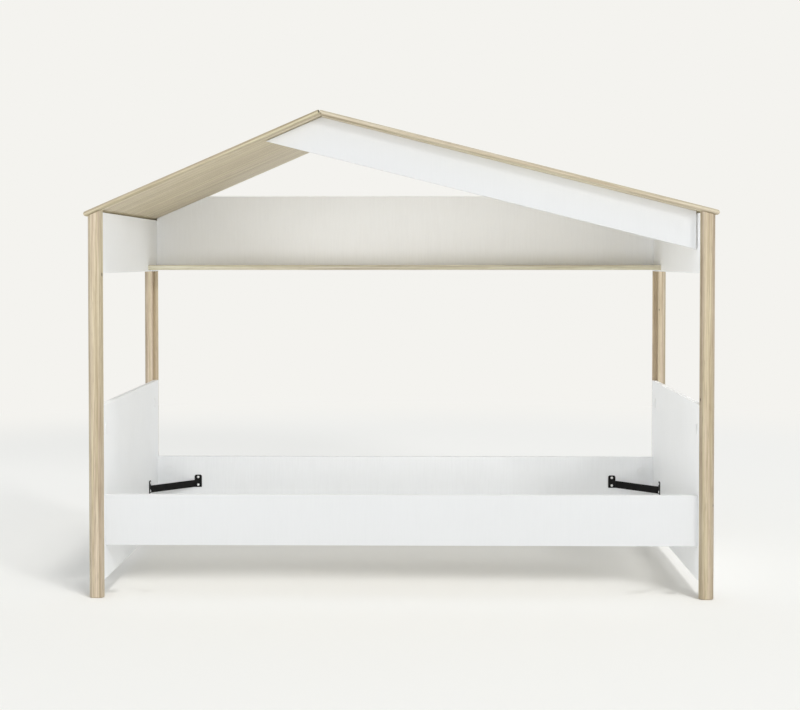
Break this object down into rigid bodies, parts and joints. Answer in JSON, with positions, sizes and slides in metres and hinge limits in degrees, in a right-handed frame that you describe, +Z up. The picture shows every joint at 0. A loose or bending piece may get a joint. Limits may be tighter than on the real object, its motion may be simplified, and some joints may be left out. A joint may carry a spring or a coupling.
{
  "type": "house frame bed",
  "caption": "Low child's bed in a house-shaped frame, with end panels, side rails, a shelf with a back board and two roof boards that meet off centre.",
  "frame": {"origin": "on the floor, under the middle of the bed's length and depth", "axes": "+X to the right as seen from the open front, +Y to the rear, where the shelf is, +Z up"},
  "size_m": [2.048, 1.016, 1.5806],
  "materials": {
    "oak": "matt pale oak",
    "white_board": "smooth matt white lacquer on board",
    "black_steel": "satin black powder coat",
    "zinc_steel": "bright zinc plate",
    "white_plastic": "matt",
    "grey_plastic": "matt",
    "beech": "plain turned beech"
  },
  "bodies": {
    "root": {"back_board": "white_board", "back_board_dowels": "beech", "brace_screws": "zinc_steel", "corner_brace_front_left": "black_steel", "corner_brace_front_right": "black_steel", "corner_brace_rear_left": "black_steel", "corner_brace_rear_right": "black_steel", "end_panel_connector_bolts": "zinc_steel", "end_panel_connectors": "grey_plastic", "end_panel_cover_caps": "white_plastic", "fascia_dowels": "beech", "front_rail": "white_board", "gable_fascia": "white_board", "lower_end_panel_left": "white_board", "lower_end_panel_right": "white_board", "lower_panel_dowels": "beech", "post_front_left": "oak", "post_front_right": "oak", "post_inserts": "zinc_steel", "post_rear_left": "oak", "post_rear_right": "oak", "rail_connector_bolts": "zinc_steel", "rail_connectors": "grey_plastic", "rail_cover_caps": "white_plastic", "rail_dowels": "beech", "rear_rail": "white_board", "ridge_dowels": "beech", "roof_board_left": "oak", "roof_board_right": "oak", "roof_screws": "zinc_steel", "shelf": "oak", "shelf_dowels": "beech", "shelf_screws": "zinc_steel", "upper_end_panel_left": "white_board", "upper_end_panel_right": "white_board", "upper_panel_dowels": "beech"}
  },
  "joints": []
}
